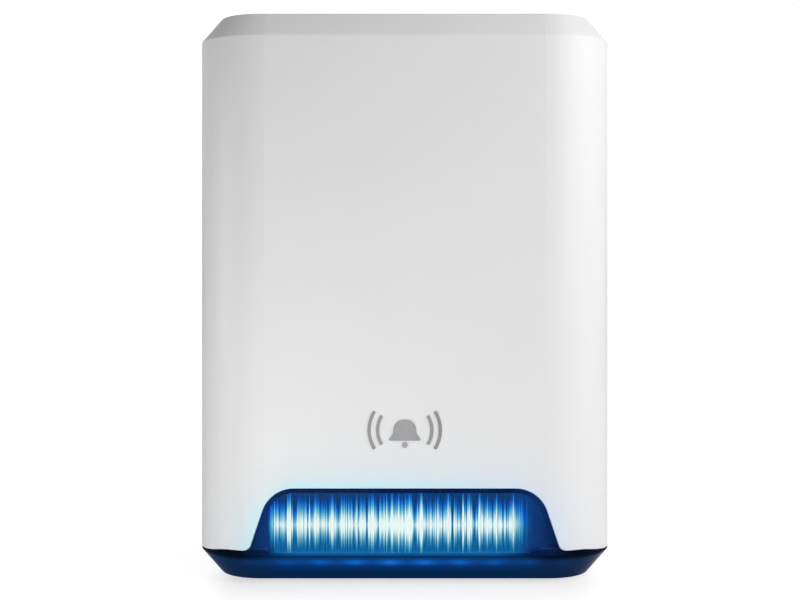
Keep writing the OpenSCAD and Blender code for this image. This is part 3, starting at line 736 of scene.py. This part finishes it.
def casing_paint():
    """Satin white plastic with a painted glow, cyan to lavender from left to right, painted into its colour
    round the window's edge.
    """
    white = (0.807, 0.806, 0.808)
    paint = Paint("casing white", white, 0.42, Specular_IOR_Level=0.4)
    x, _, z = paint.xyz()
    blotch = paint.noise(60, 3)
    body = paint.mix(blotch, shade(white, 0.985), shade(white, 1.015))
    # painted light: the window's glow is painted into the casing's colour, fading with distance from the
    # window's edge
    glow = painted_window_glow(paint, x, z)
    painted_glow_tint = paint.mix(x.step(-10, 75), (0.58, 0.86, 0.95), (0.70, 0.80, 0.98))
    paint.color(paint.mix(glow, body, painted_glow_tint))
    paint.roughness(paint.noise(9, 4), 0.37, 0.46)
    crease = paint.math("EXPONENT", (abs(x) - CREASE_X).above(0.0) / -CREASE_REACH)
    paint.bump(crease, CREASE_TILT * CREASE_REACH)
    return paint.bump(paint.noise(0.45, 2), 0.006)


def spots(paint, x, h):
    """Soft bright spots where the lamps shine down into the sloping edge, near its upper corner."""
    pitch = 16.6
    phase = paint.math("PINGPONG", x + 7.0, pitch / 2)
    across = (x + 3.0).bell(46.0)
    return (phase.bell(4.2) * 0.75 + 0.25) * (h + 2.2).bell(1.5) * across


def lens_paint(name="lens blue", lit=True):
    """Deep blue clear plastic, see-through in the window, with painted shade that makes it nearly black
    along its rim, at its ends and in its sloping edge, and, when lit, painted light from the lamps glowing
    in the sloping edge and beside the window.
    """
    navy = (0.002, 0.02, 0.10)
    paint = Paint(name, navy, 0.14, Specular_IOR_Level=0.02, IOR=1.5)
    x, y, z = paint.xyz()
    h = z + SLOPE_Z
    below = h.step(1.6, 0.2)
    # painted shade: the lens's ends, the line along its rim and the sloping edge below it are darkened
    # towards black in its colour
    ends = abs(x).step(60, 84)
    rim = (h - 0.5).bell(0.8)
    painted_shade = (ends + rim + below * 0.9).below(0.98)
    paint.color(paint.mix(painted_shade, navy, (0.0002, 0.003, 0.010)))
    paint.roughness(paint.noise(7, 3), 0.10, 0.18)
    if lit:
        # painted light: the lamps' light in the sloping edge and beside the window is given as the lens's
        # own glow
        depth = (-h + 1.2) / (SLOPE_H + 1.2)
        middle = paint.ramp(
            depth,
            (0.0, (0.001, 0.034, 0.130)),
            (0.10, (0.001, 0.034, 0.150)),
            (0.20, (0.0015, 0.044, 0.215)),
            (0.33, (0.001, 0.030, 0.160)),
            (0.50, (0.0, 0.021, 0.11)),
            (0.65, (0.0, 0.0145, 0.06)),
            (1.0, (0.0, 0.0135, 0.048)),
        )
        tips = paint.ramp(
            depth,
            (0.0, (0.0, 0.0015, 0.006)),
            (0.10, (0.0004, 0.0035, 0.014)),
            (0.20, (0.0015, 0.012, 0.046)),
            (0.35, (0.002, 0.016, 0.060)),
            (1.0, (0.002, 0.014, 0.046)),
        )
        glow = paint.mix(abs(x + 4.0).step(46, 76), middle, tips)
        glow = paint.mix(spots(paint, x, h), glow, (0.003, 0.15, 0.62))
        glow = paint.mix(below * (-y).step(20, 45), (0, 0, 0), glow)
        foot = (h - 2.1).bell(0.75) * abs(x + 4.0).step(66, 44)
        glow = paint.mix(foot, glow, (0.008, 0.125, 0.32))
        flank = (abs(x + 1.5) - 64.0).bell(6.0) * h.step(3, 6) * (-y).step(20, 45)
        paint.feed(paint.shader.inputs["Emission Color"], paint.mix(flank, glow, (0.004, 0.026, 0.11)))
        paint.shader.inputs["Emission Strength"].default_value = 1.0
    clear = paint.add("ShaderNodeBsdfTransparent")
    clear.inputs["Color"].default_value = (0.67, 0.837, 1.0, 1)
    blend = paint.add("ShaderNodeMixShader")
    paint.feed(blend.inputs[0], (below * 0.45 + abs(x).step(62, 76) * 0.35 + rim * 0.45 + 0.55).below(1.0))
    paint.tree.links.new(clear.outputs[0], blend.inputs[1])
    paint.tree.links.new(paint.shader.outputs[0], blend.inputs[2])
    paint.tree.links.new(blend.outputs[0], paint.output.inputs["Surface"])
    return paint


def guide_paint():
    """Blue light guide whose flutes catch the lamps as bright upright streaks, given as painted light: a
    glow in the guide's own colour.
    """
    navy = (0.006, 0.035, 0.12)
    paint = Paint("light guide", navy, 0.2, Specular_IOR_Level=0.2)
    x, _, z = paint.xyz()
    broad = paint.noise(2.6, 1, along=x + 311.0)
    fine = paint.noise(0.8, 2, along=x)
    line = paint.noise(0.55, 1, along=x + 77.0)
    drift = paint.noise(11, 2, along=x + 532.0)
    over = z - (drift * 1.6 - 0.8 + LIT_Z)
    up = over.step(-1.0, 1.0)
    middle = (x + 4.0).bell(13.0)
    ends = x.step(LIT_FROM - 2, LIT_FROM + 6) * (-x).step(-LIT_TO - 4, -LIT_TO + 8)
    gaps = line.step(0.42, 0.32) * (-middle * 0.8 + 1.0)
    shorter = (broad - 0.5) * -19.0 + (fine - 0.5) * -13.0 + gaps * 4.6 - middle * 1.6
    falling = (abs(over) + shorter) * -0.083 + 1.08
    foot = (-up + 1.0) * (line * 0.44 + 0.01)
    painted_streak_light = falling.below(1.0).above(foot) * ends
    upper = paint.ramp(
        painted_streak_light,
        (0.0, (0.005, 0.0248, 0.0491)),
        (0.15, (0.0033, 0.042, 0.145)),
        (0.3, (0.0022, 0.090, 0.31)),
        (0.5, (0.0361, 0.2364, 0.2838)),
        (0.7, (0.2753, 0.4293, 0.3315)),
        (0.85, (0.7594, 0.6137, 0.4001)),
        (1.0, (1.0, 0.7374, 0.4805)),
    )
    lower = paint.ramp(
        painted_streak_light,
        (0.0, (0.0038, 0.0157, 0.0461)),
        (0.15, (0.0022, 0.053, 0.1028)),
        (0.3, (0.005, 0.1052, 0.1748)),
        (0.5, (0.0527, 0.2189, 0.2274)),
        (0.7, (0.2753, 0.4046, 0.3017)),
        (0.85, (0.7594, 0.6137, 0.4001)),
        (1.0, (1.0, 0.7374, 0.4805)),
    )
    edge = abs(x).step(65.5, 54)
    # painted light: the streaks' glow, dark beyond the lit stretch and fading to black at the guide's ends
    shown = paint.mix((painted_streak_light * 3.0 + edge).below(1.0), (0, 0, 0), paint.mix(up, lower, upper))
    paint.feed(paint.shader.inputs["Emission Color"], shown)
    paint.shader.inputs["Emission Strength"].default_value = 8.8
    paint.color(paint.mix(paint.noise(3, 2), shade(navy, 0.8), shade(navy, 1.2)))
    paint.roughness(fine, 0.15, 0.3)
    return paint.bump(fine, 0.05)


def mark_paint():
    """Grey print with a soft change of tone from left to right."""
    paint = Paint("mark grey", (0.3, 0.3, 0.31), 0.4)
    x, _, _ = paint.xyz()
    tone = (x / 40.0 + 0.5 + paint.noise(2, 2) * 0.15).below(1.0)
    stops = ((0.0, (0.26, 0.26, 0.27)), (0.6, (0.36, 0.36, 0.37)), (1.0, (0.27, 0.27, 0.28)))
    paint.color(paint.ramp(tone, *stops))
    return paint.bump(paint.noise(0.3, 2), 0.004)


def board_paint(name, mask, trace):
    """Circuit board: solder mask with traces under it and bare vias."""
    paint = Paint(name, mask, 0.35)
    x, _, z = paint.xyz()
    upright = paint.noise(9, 0).step(0.495, 0.505)
    lines = paint.tracks(z, x, 0.9, 9) * upright + paint.tracks(x, z, 0.9, 7) * (-upright + 1.0)
    copper = paint.mix(lines, mask, trace)
    vias = paint.dots(4.0).step(0.13, 0.10)
    paint.color(paint.mix(vias, copper, (0.55, 0.42, 0.16)))
    paint.roughness(lines, 0.25, 0.4)
    return paint.bump(lines + vias * 0.5, 0.03)


def cell_paint(name, towards):
    """Battery sleeve: black with a copper-coloured band near the button end."""
    paint = Paint(name, (0.03, 0.03, 0.035), 0.25, Coat_Weight=0.4, Coat_Roughness=0.1)
    node = paint.add("ShaderNodeSeparateXYZ")
    paint.tree.links.new(paint.add("ShaderNodeTexCoord").outputs["Generated"], node.inputs[0])
    along = Term(paint, node.outputs[0])
    if towards < 0:
        along = -along + 1.0
    ends = (abs(along - 0.49)).step(0.470, 0.474)
    band = along.step(0.70, 0.703)
    sleeve = paint.mix(band, (0.025, 0.025, 0.03), (0.62, 0.27, 0.06))
    scuffs = paint.noise(3, 5)
    paint.color(paint.mix(ends, sleeve, (0.62, 0.61, 0.58)))
    paint.feed(paint.shader.inputs["Metallic"], ends.above(band * 0.8))
    paint.roughness(scuffs, 0.18, 0.36)
    return paint.bump(scuffs, 0.01)


def winding_paint():
    """Lacquered copper wire wound round a core."""
    paint = Paint("winding", (0.65, 0.28, 0.09), 0.3, 0.9)
    _, y, _ = paint.xyz()
    turns = paint.math("SINE", y * 9.0) * 0.5 + 0.5
    paint.color(paint.mix(turns, (0.30, 0.11, 0.03), (0.72, 0.34, 0.12)))
    paint.roughness(turns, 0.22, 0.4)
    return paint.bump(turns, 0.12)


def mesh_paint():
    """Woven stainless insect mesh."""
    paint = Paint("steel mesh", (0.55, 0.55, 0.56), 0.35, 1.0)
    x, y, _ = paint.xyz()
    weave = paint.math("SINE", x * 8.0) * paint.math("SINE", y * 8.0) * 0.5 + 0.5
    paint.color(paint.mix(weave, (0.25, 0.25, 0.26), (0.68, 0.68, 0.69)))
    paint.roughness(weave, 0.3, 0.5)
    return paint.bump(weave, 0.1)


def lamp_paint():
    """Lamp with a yellow phosphor dome that gives blue-white light."""
    paint = Paint("lamp", (0.85, 0.78, 0.3), 0.25)
    speck = paint.noise(0.4, 2)
    paint.color(paint.mix(speck, (0.80, 0.70, 0.22), (0.92, 0.86, 0.42)))
    paint.feed(paint.shader.inputs["Emission Color"], paint.mix(speck, (0.35, 0.6, 1.0), (0.5, 0.75, 1.0)))
    paint.shader.inputs["Emission Strength"].default_value = 3.0
    return paint.bump(speck, 0.02)


def clear_plastic(name, color, glow):
    """Small diode dome."""
    paint = Paint(name, color, 0.15, Coat_Weight=0.5)
    speck = paint.noise(0.6, 2)
    paint.color(paint.mix(speck, shade(color, 0.8), shade(color, 1.2)))
    paint.feed(paint.shader.inputs["Emission Color"], paint.mix(speck, shade(color, 0.8), color))
    paint.shader.inputs["Emission Strength"].default_value = glow
    return paint.bump(speck, 0.01)


def assign(piece, paint):
    """Makes the paint the piece's only material."""
    piece.data.materials.clear()
    piece.data.materials.append(paint.material)
    for slot in piece.material_slots:
        slot.link = "DATA"


# ---- the outside, rebuilt with soft edges
casing = casing_paint()
lens = lens_paint()
cover = front_cover()
bevel(cover, 0.35, 60)
assign(cover, casing)
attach(cover, "cover")
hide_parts("front_cover")

blue = strobe_lens()
assign(blue, lens)
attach(blue, "cover")
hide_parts("strobe_lens")

fittings = lens_fittings()
assign(fittings, lens_paint("lens fittings blue", False))
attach(fittings, "cover")

guide = light_guide()
assign(guide, guide_paint())
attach(guide, "cover")
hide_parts("lens_diffuser")

# ---- carried-over CAD nodes: soft edges where they are moulded, and a material each
plated = rolled("zinc plating", (0.66, 0.66, 0.64), 0.25)
black_plastic = moulded("black moulding", (0.022, 0.022, 0.024), 0.45)
rubber = soft("black rubber", (0.018, 0.018, 0.019))
switch_plastic = moulded("switch body", (0.03, 0.035, 0.05), 0.4)
spring_steel = rolled("spring steel", (0.6, 0.6, 0.6), 0.22)
red_lead = moulded("red lead", (0.5, 0.012, 0.012), 0.35, 1.5, 0.01)
black_lead = moulded("black lead", (0.012, 0.012, 0.013), 0.35, 1.5, 0.01)
cells = [cell_paint("cell to the right", 1), cell_paint("cell to the left", -1)]

FINISHES = {
    "badge": mark_paint(),
    "lens_seal": soft("foam seal", (0.015, 0.015, 0.016), 0.85, 0.3, 0.06),
    "lens_screws": plated,
    "hinge_pins": rolled("stainless pin", (0.62, 0.62, 0.62), 0.2),
    "sound_mesh": mesh_paint(),
    "backplate": moulded("plate white", (0.74, 0.745, 0.74), 0.5, 0.4, 0.02),
    "cable_grommet": rubber,
    "cover_screw": rolled("stainless screw", (0.66, 0.66, 0.65), 0.2, (1, 1, 0.05)),
    "screw_washer": soft("washer rubber", (0.02, 0.02, 0.022)),
    "main_board": board_paint("green board", (0.006, 0.085, 0.03), (0.012, 0.16, 0.055)),
    "board_screws": plated,
    "radio_module": rolled("shield can", (0.6, 0.61, 0.6), 0.32, (1, 1, 1), 2.5),
    "antenna": rolled("copper wire", (0.75, 0.42, 0.18), 0.25),
    "processor": moulded("chip case", (0.012, 0.012, 0.013), 0.5, 0.25, 0.02),
    "power_coil": winding_paint(),
    "capacitors": moulded("capacitor sleeve", (0.015, 0.02, 0.05), 0.22, 1.0, 0.004),
    "small_components": moulded("chip parts", (0.25, 0.17, 0.09), 0.4, 1.0, 0.01, 0.5),
    "terminal_block": moulded("terminal green", (0.02, 0.2, 0.06), 0.4),
    "terminal_screws": plated,
    "lead_sockets": moulded("ivory nylon", (0.72, 0.66, 0.5), 0.45),
    "lead_plugs": moulded("plug nylon", (0.78, 0.73, 0.6), 0.4),
    "status_light": clear_plastic("status light", (0.2, 0.8, 0.15), 0.6),
    "button_switch": rolled("switch frame", (0.45, 0.45, 0.46), 0.35),
    "reset_button": moulded("button cap", (0.02, 0.02, 0.02), 0.35),
    "tamper_switch": switch_plastic,
    "tamper_lever": spring_steel,
    "wall_tamper_switch": switch_plastic,
    "wall_tamper_plunger": moulded("red nylon", (0.5, 0.02, 0.015), 0.35),
    "wall_tamper_spring": spring_steel,
    "battery_holder": black_plastic,
    "battery_1": cells[0],
    "battery_2": cells[0],
    "battery_3": cells[1],
    "battery_4": cells[1],
    "battery_springs": plated,
    "battery_plates": plated,
    "holder_screws": plated,
    "sounder_housing": black_plastic,
    "sounder_gasket": rubber,
    "piezo_disc": rolled("piezo brass", (0.72, 0.5, 0.2), 0.3),
    "piezo_ceramic": moulded("silvered ceramic", (0.7, 0.69, 0.64), 0.35, 0.5, 0.01),
    "sounder_horn": moulded("horn black", (0.02, 0.02, 0.022), 0.38),
    "sounder_screws": plated,
    "strobe_pillars": moulded("pillar white", (0.74, 0.745, 0.74), 0.5, 0.4, 0.02),
    "strobe_reflector": moulded("reflector white", (0.82, 0.83, 0.84), 0.16, 0.6, 0.003, 0.02),
    "strobe_board": board_paint("white board", (0.7, 0.7, 0.68), (0.6, 0.6, 0.58)),
    "strobe_lamps": lamp_paint(),
    "strobe_screws": plated,
    "battery_lead_red": red_lead,
    "battery_lead_black": black_lead,
    "sounder_lead_red": red_lead,
    "sounder_lead_black": black_lead,
    "strobe_lead_red": red_lead,
    "strobe_lead_black": black_lead,
}
for name, paint in FINISHES.items():
    assign(nodes[name], paint)

SOFT_EDGES = {
    0.4: ("backplate", "battery_holder", "sounder_housing"),
    0.3: ("sounder_horn", "strobe_reflector", "cable_grommet"),
    0.2: ("terminal_block", "radio_module", "tamper_switch", "wall_tamper_switch"),
    0.15: ("lead_sockets", "lead_plugs"),
}
for width, names in SOFT_EDGES.items():
    for name in names:
        bevel(nodes[name], width, 40)


# ---- stage, light and camera
WORLD_GLOW = 0.166
FLOOR_GLOW = 0.082
EYE_AWAY = 643
EYE_Z = 21.1


def area_light(name, place, aim, size, power):
    """Rectangular lamp that points from its place to its aim, in metres and watts."""
    light = bpy.data.lights.new(name, "AREA")
    light.shape = "RECTANGLE"
    light.size, light.size_y = size
    light.energy = power
    lamp = bpy.data.objects.new(name, light)
    lamp.location = place
    lamp.rotation_euler = (Vector(aim) - Vector(place)).to_track_quat("-Z", "Y").to_euler()
    bpy.context.scene.collection.objects.link(lamp)


def floor():
    """Pale floor that the casing stands on; to the camera its real shading is mixed with painted white,
    least just in front of the casing's foot, so that only the shadow there shows clearly.
    """
    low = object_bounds()[0].z
    bpy.ops.mesh.primitive_grid_add(x_subdivisions=8, y_subdivisions=8, size=8, location=(0, 0, low))
    plane = bpy.context.active_object
    plane.name = "floor"
    paint = Paint("floor white", (0.9, 0.9, 0.9), 0.7)
    paint.color(paint.mix(paint.noise(300, 2), (0.88, 0.88, 0.88), (0.92, 0.92, 0.92)))
    paint.roughness(paint.noise(40, 2), 0.65, 0.8)
    paint.shader.inputs["Emission Color"].default_value = (1, 1, 1, 1)
    paint.shader.inputs["Emission Strength"].default_value = FLOOR_GLOW
    seen = paint.add("ShaderNodeEmission")
    seen.inputs["Color"].default_value = (1, 1, 1, 1)
    seen.inputs["Strength"].default_value = 1.04
    x, y, _ = paint.xyz()
    # painted light: plain white shown to the camera over the floor's shading, more of it ahead of, beside
    # and away from the casing's foot
    ahead = (-y + FRONT_Y).step(2, 36)
    beside = abs(x).step(76, 98)
    away = paint.math("SQRT", x * x + y * y).step(100, 260)
    painted_white_share = (ahead * 0.20 + beside * 0.38 + away * 0.25 + 0.53).below(0.98)
    looked_at = Term(paint, paint.add("ShaderNodeLightPath").outputs["Is Camera Ray"])
    blend = paint.add("ShaderNodeMixShader")
    paint.feed(blend.inputs[0], painted_white_share * looked_at)
    paint.tree.links.new(paint.shader.outputs[0], blend.inputs[1])
    paint.tree.links.new(seen.outputs[0], blend.inputs[2])
    paint.tree.links.new(blend.outputs[0], paint.output.inputs["Surface"])
    assign(plane, paint)
    plane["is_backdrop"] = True


def world():
    """Even white surroundings, brighter to the camera than to the object."""
    sky = bpy.data.worlds.new("studio")
    sky.use_nodes = True
    tree = sky.node_tree
    light = tree.nodes["Background"]
    light.inputs["Color"].default_value = (1, 1, 1, 1)
    light.inputs["Strength"].default_value = WORLD_GLOW
    seen = tree.nodes.new("ShaderNodeBackground")
    seen.inputs["Color"].default_value = (1, 1, 1, 1)
    seen.inputs["Strength"].default_value = 1.05
    mix = tree.nodes.new("ShaderNodeMixShader")
    tree.links.new(tree.nodes.new("ShaderNodeLightPath").outputs["Is Camera Ray"], mix.inputs[0])
    tree.links.new(light.outputs[0], mix.inputs[1])
    tree.links.new(seen.outputs[0], mix.inputs[2])
    tree.links.new(mix.outputs[0], tree.nodes["World Output"].inputs["Surface"])
    bpy.context.scene.world = sky


def camera():
    """Straight on, a little above the middle, with a shifted picture instead of a tilted camera."""
    data = bpy.data.cameras.new("camera")
    data.sensor_width = 36
    data.lens = 61.27
    data.shift_x = -0.0059
    data.shift_y = -0.06
    eye = bpy.data.objects.new("camera", data)
    eye.location = (0, (FRONT_Y - EYE_AWAY) * MM, EYE_Z * MM)
    eye.rotation_euler = (math.pi / 2, 0, 0)
    bpy.context.scene.collection.objects.link(eye)
    bpy.context.scene.camera = eye


floor()
world()
camera()
area_light("near low left", (-0.15, -0.34, -0.10), (-0.05, -0.06, -0.09), (0.26, 0.05), 0.24)
area_light("near low right", (0.05, -0.34, -0.10), (0.03, -0.06, -0.09), (0.26, 0.05), 0.04)
area_light("key", (0.90, -0.28, 0.40), (0.08, -0.05, 0.05), (0.4, 0.5), 2.196)
area_light("high right", (0.7, -0.25, 0.9), (0.06, -0.05, 0.1), (0.5, 0.5), 4.28)
area_light("near right", (0.34, -0.36, 0.26), (0.06, -0.05, 0.06), (0.2, 0.3), 0.68)
area_light("middle right", (0.75, -0.35, 0.12), (0.08, -0.05, 0.02), (0.3, 0.4), 0.08)
area_light("far left", (-1.0, -0.35, 0.0), (-0.09, -0.05, -0.02), (0.5, 0.3), 2.0)
area_light("back left", (-0.9, 0.9, 0.45), (0, 0, 0), (0.8, 0.8), 1.1)
area_light("back right", (0.9, 0.9, 0.45), (0, 0, 0), (0.8, 0.8), 0.7)
area_light("behind", (0, 1.5, 0.4), (0, 0, 0), (0.8, 0.8), 5.0)
bpy.context.scene.view_settings.view_transform = "Standard"
